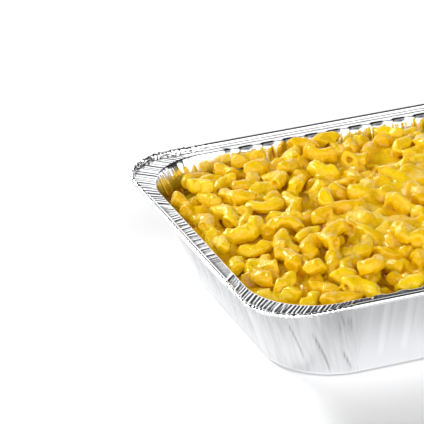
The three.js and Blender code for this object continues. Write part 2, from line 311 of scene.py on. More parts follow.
class Stations:
    """Places on the way round: side or corner, with fluted, plain and rounded stretches."""

    def __init__(self):
        side, along, plain, turn = [], [], [], []

        def add(s, a, p, t):
            side.append(s)
            along.append(a)
            plain.append(p)
            turn.append(t)

        for quarter in range(4):
            end = FLUTE_END[1 - quarter % 2]
            step = SIDE_STEPS[quarter]
            for p in np.arange(PLAIN_STEPS, 0, -1) / PLAIN_STEPS:
                if p < 1:
                    add(quarter, -end, p, -1)
            for a in np.linspace(-end, end, int(2 * end / step)):
                add(quarter, a, 0, -1)
            for p in np.arange(1, PLAIN_STEPS) / PLAIN_STEPS:
                add(quarter, end, p, -1)
            for t in np.linspace(0, 1, CORNER_STEPS[quarter]):
                add(quarter, 0, 0, t)
        self.side = np.array(side)
        self.along = np.array(along, float)
        self.plain = np.array(plain, float)
        self.turn = np.array(turn, float)
        self.is_corner = self.turn >= 0
        self.count = len(side)

    def ring(self, inset, corner, diagonal=False):
        """Plan places and outward ways of every station on one rounded rectangle.

        On the rim the stations of a corner lie along its diagonal from those at the mouth.
        """
        half = HALF - inset
        quarter = self.side * (math.pi / 2)
        straight_half = np.where(self.side % 2 == 0, half[0], half[1])
        cross_half = np.where(self.side % 2 == 0, half[1], half[0])
        arc_start = cross_half - corner
        along = self.along + np.sign(self.along) * self.plain * (arc_start - np.abs(self.along))
        local = np.stack([straight_half, along], 1)
        cos, sin = np.cos(quarter), np.sin(quarter)
        straight = np.stack(
            [local[:, 0] * cos - local[:, 1] * sin, local[:, 0] * sin + local[:, 1] * cos], 1
        )
        angle = quarter + np.clip(self.turn, 0, 1) * (math.pi / 2)
        sign_x = np.where((self.side == 0) | (self.side == 3), 1, -1)
        sign_y = np.where(self.side < 2, 1, -1)
        round_part = np.stack(
            [
                sign_x * (half[0] - corner) + corner * np.cos(angle),
                sign_y * (half[1] - corner) + corner * np.sin(angle),
            ],
            1,
        )
        place = np.where(self.is_corner[:, None], round_part, straight)
        if diagonal:
            mouth = self.ring(RIM_WIDTH, MOUTH_CORNER)[0]
            signs = CORNER_SIGNS[self.corner_way()[1]]
            off = mouth * signs - (HALF - RIM_WIDTH - MOUTH_CORNER)
            across = (off[:, 1] - off[:, 0]) / 2
            arc = (RIM_WIDTH + MOUTH_CORNER - inset - corner) + np.sqrt(
                np.maximum(corner * corner / 2 - across * across, 0)
            )
            out_x = RIM_WIDTH + MOUTH_CORNER - inset
            on_arc = np.abs(across) < corner / 2
            along = np.where(on_arc, arc, out_x - np.abs(across))
            moved = np.stack([along - across, along + across], 1) + HALF - RIM_WIDTH - MOUTH_CORNER
            share = 1 - smooth(*DIAGONAL_REACH, np.abs(across) * math.sqrt(2))
            place = mix(place, moved * signs, share[:, None])
        straight_part = np.clip(place, corner - half, half - corner)
        out = place - straight_part
        return place, out / np.linalg.norm(out, axis=1)[:, None]

    def corner_way(self):
        """Millimetres along the mouth from the nearest corner's middle, and that corner's number."""
        arc = MOUTH_CORNER * math.pi / 4
        way = (self.turn - 0.5) * 2 * arc
        half = HALF - RIM_WIDTH - MOUTH_CORNER
        gap = np.where(self.side % 2 == 0, half[1], half[0]) - np.abs(self.along)
        beside = arc + (1 - self.plain) * gap
        way = np.where(self.is_corner, way, np.where(self.along > 0, -beside, beside))
        corner = np.where(self.is_corner | (self.along > 0), self.side, (self.side - 1) % 4)
        return way, corner


def flute_shapes(along, end):
    """0 to 1 at places along a wall: how much there is of a wide and of a narrow flute."""
    off = np.abs(np.mod(along, FLUTE_PITCH) - FLUTE_PITCH / 2)
    ends = 1 - smooth(end - 4, end, np.abs(along))
    wide = 1 - smooth(*WIDE_HALF, FLUTE_PITCH / 2 - off)
    narrow = 1 - smooth(*NARROW_HALF, off)
    return wide * ends, narrow * ends


def creases_of(rng, way_round):
    """Creases of one corner wall: (place along, width, depth, slant, bend, top, bottom, darkness of the
    painted shade along it).
    """
    made = []
    place = -CREASED
    while place < CREASED:
        place += rng.uniform(1.4, 3.4)
        depth = rng.choice([-1, 1], p=[0.7, 0.3]) * rng.uniform(0.1, 0.5)
        bottom = rng.uniform(36, 55)
        if rng.random() < 0.25:
            depth *= 0.4
            bottom = rng.uniform(8, 36)
        slant = rng.normal(0, 0.06)
        made.append((place, rng.uniform(0.5, 1.2), depth, slant, 0.0, RIM_Z + 9, bottom, 0.06))
    for along, high, low in FOLDS:
        place = way_round * along + rng.normal(0, 0.6)
        made.append((place, 0.8, -0.4, 0.3 * way_round, -0.004 * way_round, high, low, 0.6))
    for side in (-1, 1):
        for _ in range(9):
            high = rng.uniform(42, 60)
            place = side * rng.uniform(28, 42)
            low = high - rng.uniform(3, 10)
            depth = rng.choice([-0.4, 0.35])
            made.append((place, 0.5, depth, rng.normal(0, 0.12), 0.0, high, low, 0.45))
    return made


def pleats(stations, heights):
    """The creased corner walls, as (heights, stations): how far they are pushed out, and how much painted
    shade darkens them.
    """
    rng = np.random.default_rng(SEED + 1)
    way, corner = stations.corner_way()
    push = np.zeros((len(heights), stations.count))
    dark = np.zeros_like(push)
    z = np.asarray(heights)[:, None]
    for c in range(4):
        here = np.where(corner == c)[0]
        at = way[here][None, :]
        way_round = 1 if c % 2 == 0 else -1
        for place, width, depth, slant, bend, high, low, darkness in creases_of(rng, way_round):
            drop = np.maximum(min(high, RIM_Z) - z, 0)
            line = place + slant * drop + bend * drop**2
            reach = smooth(low - 3, low + 6, z) * (1 - smooth(high - 6, high + 3, z))
            push[:, here] += depth * reach * np.exp(-np.abs(at - line) / width)
            # Painted shade: a dark line down each crease, where shade falls in the fold.
            dark[:, here] += darkness * reach * np.exp(-(((at - line) / CREASE_LINE) ** 2))
    return push, np.minimum(dark, DARKEST_CREASE)


def ridge_line(rng, first, last, widths, slopes, leans):
    """Places along a rim and the heights there, by turns the foot and the top of a crimp."""
    places, heights = [first], [0.0]
    while places[-1] < last - widths[1]:
        start = places[-1]
        width = rng.uniform(*widths)
        places += [start + rng.uniform(*leans) * width, start + width]
        heights += [rng.uniform(*slopes) * width / 2, 0.0]
    return places, heights


def crimps(stations, rows):
    """Height of the crimps at the corners and of the ribs on the short sides: (rows, stations)."""
    rng = np.random.default_rng(SEED + 2)
    bend = waves(SEED + 10, 10, 8, 24)
    plans = np.array([stations.ring(row[0], row[1], row[3] in ("rim", "bead"))[0] for row in rows])
    x, y = plans[:, :, 0], plans[:, :, 1]
    corner = stations.corner_way()[1]
    across = np.array([row[0] for row in rows])[:, None] - RIM_WIDTH / 2
    arc_middle = HALF - RIM_WIDTH - MOUTH_CORNER
    total = np.zeros(x.shape)
    for c in range(4):
        # The crimps run along the corner's diagonal, so they are told apart by the way across it.
        way_x, way_y = -math.sin((c + 0.5) * math.pi / 2), math.cos((c + 0.5) * math.pi / 2)
        here = np.where(corner == c)[0]
        off_x = x[:, here] - math.copysign(arc_middle[0], way_y)
        off_y = y[:, here] - math.copysign(arc_middle[1], -way_x)
        at = way_x * off_x + way_y * off_y
        line = ridge_line(rng, *CRIMPS[c])
        total[:, here] += np.interp(at + 0.6 * bend(off_x, off_y, 20.0 * c), *line)
    for side in (0, 2):
        here = np.where((stations.side == side) & ~stations.is_corner & (stations.plain == 0))[0]
        at = stations.along[here][None, :]
        line = ridge_line(rng, *RIBS)
        total[:, here] += np.interp(at + across * 0.3 * bend(at, 20.0 * side + 9), *line)
    return total


def painted_wall_light(z, narrow):
    """How bright the wall's outside is painted: painted shade darker towards the top, a painted shadow
    under the rim, and a painted highlight streak in the narrow flutes.
    """
    streak = smooth(0.6, 1.0, narrow) * smooth(6, 14, z)
    return mix(0.86, 0.66, smooth(12, 57, z)) * mix(1.0, 0.5, smooth(57.5, 60.5, z)) + 0.07 * streak


def make_tray(material):
    stations = Stations()
    rows = foil_profile()
    # The creases, and the painted shade along them
    creases, crease_shade = pleats(stations, [row[2] for row in rows])
    relief = crimps(stations, rows)
    way = stations.corner_way()[0]
    crimped = 1 - smooth(*CRUMPLED, np.abs(way))
    ends = np.where(stations.side % 2 == 0, FLUTE_END[1], FLUTE_END[0])
    wide, narrow = (shape * ~stations.is_corner for shape in flute_shapes(stations.along, ends))
    fluted = (stations.plain == 0) & ~stations.is_corner & (stations.side % 2 == 1)
    more_lip = (WIDE_LIP_RADIUS - LIP_RADIUS) * fluted * (1 - wide)
    fluted_lip = WIDE_DEPTH * wide * fluted
    # Between the wide flutes of a long side, where a dark dash under the lip is painted: a painted dark
    # reflection.
    between = fluted * smooth(0.1, 0.6, 1 - wide)
    dents = waves(SEED + 3, 24, 9, 46)
    fine_dents = waves(SEED + 4, 24, 3.5, 9)
    crinkle = waves(SEED + 7, 24, 1.3, 3.0)
    streaky = waves(SEED + 11, 24, 1.6, 7)
    count = stations.count
    places = np.zeros((len(rows), count, 3))
    # How bright the foil's inside and outside are painted: BRIGHT, less painted shade and dark
    # reflections, plus painted highlights.
    inside = np.full((len(rows), count), BRIGHT)
    outside = np.full((len(rows), count), BRIGHT)
    for i, (inset, corner, z, zone, across) in enumerate(rows):
        plan, out = stations.ring(inset, corner, zone in ("rim", "bead"))
        x, y = plan[:, 0], plan[:, 1]
        push = np.zeros(count)
        lift = np.zeros(count)
        if zone == "wall":
            loose = smooth(FOOT_RISE, 14, z) * (1 - smooth(RIM_Z - 8, RIM_Z - 2, z))
            low = smooth(5, 17, z)
            top = 1 - smooth(NARROW_TOP, NARROW_TOP + 0.8, z)
            kept = np.maximum(fluted, 1 - smooth(*WIDE_FADE, z))
            push = creases[i] - low * (WIDE_DEPTH * wide * kept + NARROW_DEPTH * narrow * top)
            push += loose * (DENT_DEPTH * dents(x, y, z) + FINE_DENT_DEPTH * fine_dents(x, y, z))
            # Painted shade inside: dark lines down the creases, and the top of the dash under the lip, a
            # painted dark reflection.
            inside[i] *= (1 - crease_shade[i]) * (1 - 0.75 * between * smooth(60.8, 61.6, z))
            # Painted shade outside, on the plain stretches and corners: random vertical streaks stand in
            # for the foil's streaky reflections, and walls that face -X are painted darker.
            streaks = 0.05 * (1 + streaky(way, 0.12 * z)) * ~fluted
            shade = 1 - streaks - 0.14 * smooth(0.3, 0.9, -out[:, 0])
            outside[i] = painted_wall_light(z, low * narrow * top) * (1 - crease_shade[i]) * shade
        if zone == "lip":
            push = more_lip * (math.tan(LIP_TURN / 2) - math.sin(across)) - fluted_lip
            lift = relief[i] * (1 - 0.6 * across / LIP_TURN) - more_lip * (1 - math.cos(across))
            # Painted dark reflection: the dash under the lip between the wide flutes.
            inside[i] *= 1 - 0.85 * between * smooth(0.1, 0.3, across)
        if zone == "rim":
            push = more_lip * math.tan(LIP_TURN / 2) - fluted_lip
            push *= max(0, 1 - 2 * across)
            lift = relief[i] + RIM_DENT_DEPTH * fine_dents(x, y)
            lift -= DROOP * across * (1 - np.maximum(out[:, 1], 0))
        if zone == "bead":
            shrink = BEAD_CRUMPLE[0] * relief[i] + BEAD_CRUMPLE[1] * (1 + crinkle(x, y, z))
            shrink *= crimped
            push = -shrink * math.cos(across)
            lift = 0.7 * relief[i] * smooth(2.4, 3.3, across) - shrink * math.sin(across)
        places[i, :, :2] = plan + out * push[:, None]
        places[i, :, 2] = z + lift
    grid = np.arange(len(rows) * count).reshape(len(rows), count)
    right = np.roll(grid, -1, axis=1)
    quads = np.stack([grid[:-1], right[:-1], right[1:], grid[1:]], -1).reshape(-1, 4)
    middle = [[0, 0, FOIL / 2]]
    floor = np.stack([np.full(count, grid.size), right[0], grid[0]], 1)
    pan = mesh_object("foil_pan", np.vstack([places.reshape(-1, 3), middle]), [quads, floor], material)
    thick = pan.modifiers.new("foil", "SOLIDIFY")
    thick.thickness = FOIL * MM
    thick.offset = 0
    apply_modifiers(pan)
    paint_foil(pan, inside, outside)
    return pan


def paint_foil(pan, inside, outside):
    """Stores how bright the foil is: its own grey, with the painted shade, shadow, dark reflections and
    highlights. The thickened mesh holds its points twice, once for each face.
    """
    mesh = pan.data
    faces = [np.append(values.ravel(), BRIGHT) for values in (inside, outside)]
    co = np.zeros(len(mesh.vertices) * 3)
    mesh.vertices.foreach_get("co", co)
    ways = np.zeros_like(co)
    mesh.vertex_normals.foreach_get("vector", ways)
    looks_out = (co.reshape(-1, 3)[:, :2] * ways.reshape(-1, 3)[:, :2]).sum(1) > 0
    values = np.where(looks_out, np.tile(faces[1], 2), np.tile(faces[0], 2))
    layer = mesh.attributes.new("brightness_and_painted_shade", "FLOAT", "POINT")
    layer.data.foreach_set("value", values.astype(np.float32))


# ------------------------------------------------------------------ the heap of macaroni
EDGE_LEVEL = 63.4
CROWN = 4.0
FRONT_RISE = -0.5
CORNER_DIP = 8.0
OTHER_CORNER_DIP = 1.0
DIP_REACH = 34.0
CLEARANCE = 0.25  # between the food and the foil
CREASE_ROOM = 1.2  # more of it at the creased corners
DENT_ROOM = 0.5  # more of it low down, where the foil is dented
DENTED = (51.0, 58.0)  # heights between which that room is given up
PRESS = 0.74  # elbows are laid as if this much of their radius were hard
LINE_STEPS = 9
FAR_AWAY = 1e9

# How the elbows are dropped on the pile.
PILE_STEP = 1.0
PILE_DEPTH = 28.0
UNEVENNESS = 1.1
DROPS = 3400
PLACES_TRIED = 14
TURNS_TRIED = 12
EDGE_ROOM = 16.0  # no elbow's middle is dropped closer than this to the pan's outer edge
MIDDLE_ROOM = 6.0  # nor closer than this to the wall
WALL_ROOM = 0.8  # between a dropped elbow and the wall
OVER_LEVEL = 3.5  # the most that a dropped elbow stands above the level
HAND_DEPTH = 5.5  # the level is this much lower under the listed elbows laid on top
HAND_REACH = 12  # cells
TIRED_REACH = 3  # cells round a place where no elbow would fit
TIRED_STEP = 4.0  # those cells count as this much higher from then on

# The heap's grid of distances.
GRID_STEP, QUICK_STEP = 0.75, 1.15
GRID_MARGIN = 2.0
GRID_OVER = 9.0  # how far the grid reaches above the pan
OUTSIDE = 6.0  # the distance held where nothing is near
WINDOW_MARGIN = 3.0
WARP = 0.75
RIPPLE, FINE_RIPPLE = 0.4, 0.29
FILLET = (1.9, 4.2)  # between elbows, in plain places and in saucy ones
SAUCE_DEPTH = 13.5  # the sauce's top lies this far under the level in plain places
SAUCE_WAVES = 1.8
SAUCE_RISE = 9.0  # and this much higher in saucy ones
SAUCE_SLOPE = 0.8  # distance to the sauce's top, for each millimetre above it
SAUCE_FILLET = 4.0
HEAP_TRIANGLES = 192000
# Gaps are told from how much food there is within these two reaches, and get painted shade.
NEAR_REACH, WIDE_REACH = 2.2, 5.0
GAP_SHADE_RANGE = (0.5, 0.86)

# Where the sauce has run together over the noodles: x, y, reach, how much.
SAUCY = (
    (-42.0, -8.0, 20.0, 1.0),
    (-22.0, -34.0, 22.0, 1.0),
    (15.0, 30.0, 26.0, 0.9),
    (80.0, -40.0, 24.0, 0.9),
    (20.0, 70.0, 75.0, 0.25),
)
# Elbows laid on top one by one: x, y, yaw, roll, half arc, whether its two ends are open, and how
# much deeper than the rest it is pressed in. The second and the last still touch nothing, pressed
# in as they are, so largest_part leaves them out of the mesh.
TOP_ELBOWS = (
    (-76.0, -41.0, -2.3, 0.25, 1.35, (True, False), 0.0),
    (-117.0, -110.0, -0.4, 0.1, 0.55, (False, False), 1.4),
    (-100.0, -67.0, 0.25, 1.9, 0.75, (False, False), 0.0),
    (-69.0, -86.0, 0.6, -0.5, 1.2, (True, False), 0.0),
    (-56.0, 21.0, 1.2, 1.3, 1.0, (True, False), 0.0),
    (-124.0, 70.0, 2.4, 0.4, 0.9, (False, False), 0.0),
    (-131.0, 88.0, -0.9, 0.3, 0.8, (False, False), 0.0),
    (-46.0, -63.0, 0.4, 1.7, 0.7, (False, False), 1.4),
)


def level_at(x, y):
    """How high the tops of the noodles lie."""
    u = x / (HALF[0] - RIM_WIDTH)
    v = y / (HALF[1] - RIM_WIDTH)
    level = EDGE_LEVEL + CROWN * np.maximum(0, (1 - u * u) * (1 - v * v)) - FRONT_RISE * v
    for sign_x in (-1, 1):
        for sign_y in (-1, 1):
            depth = CORNER_DIP if (sign_x, sign_y) == (-1, 1) else OTHER_CORNER_DIP
            far = np.hypot(
                x - sign_x * (HALF[0] - FOOT_INSET), y - sign_y * (HALF[1] - FOOT_INSET)
            )
            level = level - depth * np.exp(-((far / DIP_REACH) ** 2))
    return level


def sauciness(x, y):
    """0 to 1 where the sauce has run together."""
    total = 0.0
    for at_x, at_y, reach, share in SAUCY:
        total = total + share * np.exp(-(((x - at_x) ** 2 + (y - at_y) ** 2) / reach**2))
    return np.minimum(total, 1)


def room_at(x, y, z, inward):
    """Distance to the wall's outside, less `inward`: positive inside the pan."""
    inset, corner = wall_line(z)
    low = np.clip((FOOT_RISE - z) / FOOT_RISE, 0, 1)
    foot = FOOT_TURN * (1 - np.sqrt(1 - low * low))
    inset, corner = inset + inward + foot, corner - inward - foot
    out_x = np.maximum(np.abs(x) - (HALF[0] - inset - corner), 0)
    out_y = np.maximum(np.abs(y) - (HALF[1] - inset - corner), 0)
    beside = np.maximum(np.abs(x) - (HALF[0] - inset - corner), np.abs(y) - (HALF[1] - inset - corner))
    return corner - np.hypot(out_x, out_y) - np.minimum(beside, 0)


def foil_clearance(x, y):
    """How far in from the wall's outside the food has to stay, flutes and creases included."""
    to_long = HALF[1] - np.abs(y)
    to_short = HALF[0] - np.abs(x)
    along = np.where(to_long < to_short, x + 0 * y, y + 0 * x)
    wide, narrow = flute_shapes(along, np.where(to_long < to_short, *FLUTE_END))
    flute = WIDE_DEPTH * wide + NARROW_DEPTH * narrow
    in_corner = 1 - smooth(66, 76, np.maximum(to_long, to_short))
    return FOIL + CLEARANCE + flute + CREASE_ROOM * in_corner


class Elbow:
    """One curved tube. Its middle line is an arc in its own XY plane that bends round +Y."""

    def __init__(self, rng, half_arc=None, open_ends=None):
        self.radius = rng.uniform(4.7, 5.7)
        self.bend = rng.uniform(8.5, 11.5)
        self.half_arc = half_arc or rng.uniform(0.75, 1.42)
        self.bore = rng.uniform(1.7, 2.5)
        # Sauce closes most of the ends, and leaves a dimple there.
        if open_ends is None:
            open_ends = rng.random(2) < 0.16
        self.depths = np.where(open_ends, rng.uniform(1.6, 3.4, 2), rng.uniform(-0.8, 0.8, 2))
        self.flatness = rng.uniform(0.8, 1.02)
        self.swell = rng.uniform(0.02, 0.09)
        self.phase = rng.uniform(0, 2 * math.pi)
        self.groove = max(0.0, rng.uniform(-1.0, 1.3))
        self.groove_at = rng.uniform(-math.pi, math.pi)
        self.tone = rng.uniform()

    def middle_line(self, count):
        angle = np.linspace(-1, 1, count) * self.half_arc
        y = self.bend * (1 - np.cos(angle))
        return np.stack([self.bend * np.sin(angle), y - y.mean(), 0 * angle], 1)

    def settle(self, turn, centre):
        self.turn = turn
        angle = np.linspace(-1, 1, LINE_STEPS) * self.half_arc
        shift = (self.bend * (1 - np.cos(angle))).mean()
        self.centre = centre - turn @ np.array([0, shift, 0])

    def distance(self, x, y, z, ripple):
        """Signed distance to a rounded, slightly crushed tube with a bore at each end."""
        turn = self.turn.T
        dx, dy, dz = x - self.centre[0], y - self.centre[1], z - self.centre[2]
        qx = turn[0, 0] * dx + turn[0, 1] * dy + turn[0, 2] * dz
        qy = self.bend - (turn[1, 0] * dx + turn[1, 1] * dy + turn[1, 2] * dz)
        qz = (turn[2, 0] * dx + turn[2, 1] * dy + turn[2, 2] * dz) / self.flatness
        angle = np.arctan2(qx, qy)
        across = np.hypot(qx, qy) - self.bend
        off = np.hypot(across, qz)
        around = np.arctan2(qz, across)
        pinch = self.groove * np.exp((np.cos(around - self.groove_at) - 1) * 7) * np.cos(angle)
        radius = self.radius * (1 + self.swell * np.sin(2.6 * angle + self.phase)) - pinch
        rounding = 1.6
        a = off - radius + ripple + rounding
        b = (np.abs(angle) - self.half_arc) * self.bend + rounding
        body = np.minimum(np.maximum(a, b), 0) + np.hypot(np.maximum(a, 0), np.maximum(b, 0)) - rounding
        depth = np.where(angle > 0, self.depths[0], self.depths[1])
        bore = np.maximum(off - self.bore, rounding - b - depth)
        return np.maximum(body, -bore)


def turn_of(yaw, pitch, roll):
    turn = Matrix.Rotation(yaw, 3, "Z") @ Matrix.Rotation(pitch, 3, "Y") @ Matrix.Rotation(roll, 3, "X")
    return np.array(turn)


def random_turn(rng):
    """A way to lie: mostly flat, some standing on edge."""
    roll = rng.uniform(0.7, 2.3) if rng.random() < 0.2 else rng.normal(0, 0.45)
    return turn_of(rng.uniform(0, 2 * math.pi), rng.normal(0, 0.24), roll)


class Pile:
    """A height map that elbows are dropped on, one at a time."""

    def __init__(self):
        self.xs = np.arange(-HALF[0], HALF[0] + PILE_STEP, PILE_STEP)
        self.ys = np.arange(-HALF[1], HALF[1] + PILE_STEP, PILE_STEP)
        x, y = np.meshgrid(self.xs, self.ys, indexing="ij")
        uneven = waves(SEED + 8, 12, 26, 70)
        self.level = level_at(x, y) + UNEVENNESS * uneven(x, y)
        self.height = self.level - PILE_DEPTH
        self.tired = np.zeros_like(self.height)

    def cell(self, x, y):
        i = np.asarray((x - self.xs[0]) / PILE_STEP, int)
        j = np.asarray((y - self.ys[0]) / PILE_STEP, int)
        return i, j

    def patch(self, x, y, radius):
        i, j = self.cell(x - radius, y - radius)
        n = int(2 * radius / PILE_STEP) + 2
        dx = self.xs[i : i + n, None] - x
        dy = self.ys[None, j : j + n] - y
        return np.s_[i : i + n, j : j + n], radius * radius - dx * dx - dy * dy

    def rest(self, line, radius):
        """How far `line` has to be lifted so that its tube lies on the pile."""
        lift = -FAR_AWAY
        for x, y, z in line:
            area, rise = self.patch(x, y, radius)
            under = rise > 0
            lift = max(lift, (self.height[area] + np.sqrt(np.where(under, rise, 0)) - z)[under].max())
        return lift

    def stamp(self, line, radius):
        for x, y, z in line:
            area, rise = self.patch(x, y, radius)
            top = np.where(rise > 0, z + np.sqrt(np.where(rise > 0, rise, 0)), -FAR_AWAY)
            self.height[area] = np.maximum(self.height[area], top)

    def lowest_of(self, rng, tries):
        """A random place with a deep gap under it."""
        x = rng.uniform(-HALF[0] + EDGE_ROOM, HALF[0] - EDGE_ROOM, tries)
        y = rng.uniform(-HALF[1] + EDGE_ROOM, HALF[1] - EDGE_ROOM, tries)
        i, j = self.cell(x, y)
        gap = self.height[i, j] - self.level[i, j] + self.tired[i, j]
        gap[room_at(x, y, EDGE_LEVEL, MIDDLE_ROOM) < 0] = FAR_AWAY
        best = int(np.argmin(gap))
        return x[best], y[best], i[best], j[best]


def around(i, j, reach):
    """The cells within `reach` of one, as an index."""
    return np.s_[i - reach : i + reach + 1, j - reach : j + reach + 1]


def lay_elbows():
    """Drops elbows into the lowest gaps until the heap is up to its level."""
    rng = np.random.default_rng(SEED)
    pile = Pile()
    laid = []
    for x, y, *_ in TOP_ELBOWS:
        i, j = pile.cell(x, y)
        pile.level[around(i, j, HAND_REACH)] -= HAND_DEPTH
    for _ in range(DROPS):
        x, y, i, j = pile.lowest_of(rng, PLACES_TRIED)
        elbow = Elbow(rng)
        line = elbow.middle_line(LINE_STEPS)
        best = None
        for _ in range(TURNS_TRIED):
            turn = random_turn(rng)
            here = line @ turn.T + np.array([x, y, 0])
            lift = pile.rest(here, elbow.radius * PRESS)
            here[:, 2] += lift
            if room_at(here[:, 0], here[:, 1], here[:, 2], WALL_ROOM).min() < elbow.radius:
                continue
            score = here[:, 2].mean() + 0.3 * here[:, 2].max()
            if best is None or score < best[0]:
                best = (score, turn, here, lift)
        if best is None or best[2][:, 2].max() + elbow.radius > pile.level[i, j] + OVER_LEVEL:
            pile.tired[around(i, j, TIRED_REACH)] += TIRED_STEP
            continue
        _, turn, here, lift = best
        elbow.settle(turn, np.array([x, y, lift]))
        pile.stamp(here, elbow.radius * PRESS)
        laid.append(elbow)
    for x, y, yaw, roll, half_arc, open_ends, pressed in TOP_ELBOWS:
        elbow = Elbow(rng, half_arc, open_ends)
        turn = turn_of(yaw, 0.1, roll)
        here = elbow.middle_line(LINE_STEPS) @ turn.T + np.array([x, y, 0])
        lift = pile.rest(here, elbow.radius * PRESS) - pressed
        here[:, 2] += lift
        elbow.settle(turn, np.array([x, y, lift]))
        pile.stamp(here, elbow.radius * PRESS)
        laid.append(elbow)
    return laid


class Field:
    """Signed distances on a grid, negative inside the food, and each place's noodle tone."""

    def __init__(self, step, low, high):
        self.step = step
        self.low = np.asarray(low, float)
        self.axes = [np.arange(a, b, step, dtype=np.float32) for a, b in zip(low, high)]
        shape = tuple(len(a) for a in self.axes)
        self.values = np.full(shape, OUTSIDE, np.float32)
        self.tone = np.full(shape, 0.5, np.float32)

    def window(self, centre, reach):
        cut = []
        for axis, at in zip(self.axes, centre):
            start = int(np.clip((at - reach - axis[0]) / self.step, 0, len(axis)))
            stop = int(np.clip((at + reach - axis[0]) / self.step + 1, 0, len(axis)))
            cut.append(slice(start, stop))
        return tuple(cut)

    def blend_in(self, cut, values, soft, tone=None):
        """Joins another shape in, with a fillet of about `soft`."""
        old = self.values[cut]
        if tone is not None:
            self.tone[cut] = np.where(values < old, tone, self.tone[cut])
        overlap = np.maximum(soft - np.abs(old - values), 0) / soft
        self.values[cut] = np.minimum(old, values) - overlap * overlap * soft / 4

    def sampled(self, grid, places):
        """The grid's values at places, by the nearest cells along each axis."""
        at = (places - self.low) / self.step
        base = np.clip(at.astype(int), 0, np.array(grid.shape) - 2)
        part = at - base
        total = 0.0
        for corner in range(8):
            step = np.array([corner & 1, corner >> 1 & 1, corner >> 2 & 1])
            weight = np.prod(np.where(step, part, 1 - part), axis=1)
            total = total + weight * grid[tuple((base + step).T)]
        return total


def box_blur(grid, cells):
    """Means over boxes of 2 * cells + 1 along each axis."""
    for axis in range(3):
        padding = [(0, 0)] * 3
        padding[axis] = (cells + 1, cells)
        sums = np.cumsum(np.pad(grid, padding, mode="edge"), axis=axis, dtype=np.float64)
        size = grid.shape[axis]
        above = np.take(sums, range(2 * cells + 1, 2 * cells + 1 + size), axis=axis)
        below = np.take(sums, range(size), axis=axis)
        grid = ((above - below) / (2 * cells + 1)).astype(np.float32)
    return grid


def largest_part(points, quads):
    """The largest connected part of a mesh. Bubbles and elbows that touch nothing are left out."""
    part = np.arange(len(points))
    while True:
        lowest = part[quads].min(axis=1)
        spread = part.copy()
        for corners in quads.T:
            np.minimum.at(spread, corners, lowest)
        spread = spread[spread]
        if (spread == part).all():
            break
        part = spread
    part = part[quads[:, 0]]
    names, sizes = np.unique(part, return_counts=True)
    kept, corners = np.unique(quads[part == names[np.argmax(sizes)]], return_inverse=True)
    return points[kept], corners.reshape(-1, 4)


# Below this height the heap is a plain core, so its grid cells are stretched down to the pan's floor.
CORE_TOP = 36.0
CORE_CELLS = 9.0
CORE_FLOOR = FOIL + CLEARANCE


def true_height(z):
    stretch = (CORE_TOP - CORE_FLOOR) / CORE_CELLS
    return np.where(z < CORE_TOP, CORE_TOP - (CORE_TOP - z) * stretch, z)


def make_heap(material):
    step = GRID_STEP
    right, far = HALF - RIM_WIDTH + GRID_MARGIN
    field = Field(step, (-right, -far, CORE_TOP - CORE_CELLS - 2 * step), (right, far, HEIGHT + GRID_OVER))
    x, y, z = np.meshgrid(*field.axes, indexing="ij", sparse=True)
    warps = [(WARP * waves(SEED + 20 + i, 7, 13, 34)(x, y, z)).astype(np.float32) for i in range(3)]
    ripple = RIPPLE * waves(SEED + 5, 12, 8, 20)(x, y, z)
    ripple = (ripple + FINE_RIPPLE * waves(SEED + 9, 12, 3.1, 6.2)(x, y, z)).astype(np.float32)
    for elbow in lay_elbows():
        middle = elbow.centre + elbow.turn @ np.array([0, elbow.bend * 0.3, 0])
        cut = field.window(middle, elbow.bend + elbow.radius + WINDOW_MARGIN)
        box = [axis[c] for axis, c in zip(field.axes, cut)]
        if min(len(a) for a in box) == 0:
            continue
        bent = [a + w[cut] for a, w in zip(np.meshgrid(*box, indexing="ij", sparse=True), warps)]
        distance = elbow.distance(*bent, ripple[cut]).astype(np.float32)
        soft = mix(*FILLET, sauciness(elbow.centre[0], elbow.centre[1]))
        field.blend_in(cut, distance, soft, elbow.tone)
    # Sauce fills what lies deep between the elbows, and stands higher where it has run together.
    pools = waves(SEED + 6, 14, 16, 50)
    sauce_top = level_at(x, y) - SAUCE_DEPTH + SAUCE_WAVES * pools(x, y) + SAUCE_RISE * sauciness(x, y)
    everywhere = (slice(None),) * 3
    field.blend_in(everywhere, (z - sauce_top).astype(np.float32) * SAUCE_SLOPE, SAUCE_FILLET)
    clearance = foil_clearance(x, y) + DENT_ROOM * (1 - smooth(*DENTED, z))
    wall = -room_at(x, y, true_height(z), clearance)
    field.values = np.maximum(field.values, wall.astype(np.float32))
    field.values = np.maximum(field.values, CORE_TOP - CORE_CELLS - z)
    grid = openvdb.FloatGrid(OUTSIDE)
    grid.copyFromArray(np.ascontiguousarray(field.values))
    points, _, quads = grid.convertToPolygons(0.0, 0.0)
    points, quads = largest_part(points, quads)
    heap = mesh_object("macaroni_heap", points * step + field.low, [quads], material)
    fewer = heap.modifiers.new("fewer", "DECIMATE")
    fewer.ratio = min(1.0, HEAP_TRIANGLES / (2 * len(quads)))
    apply_modifiers(heap)
    paint_and_stretch(heap, field)
    return heap


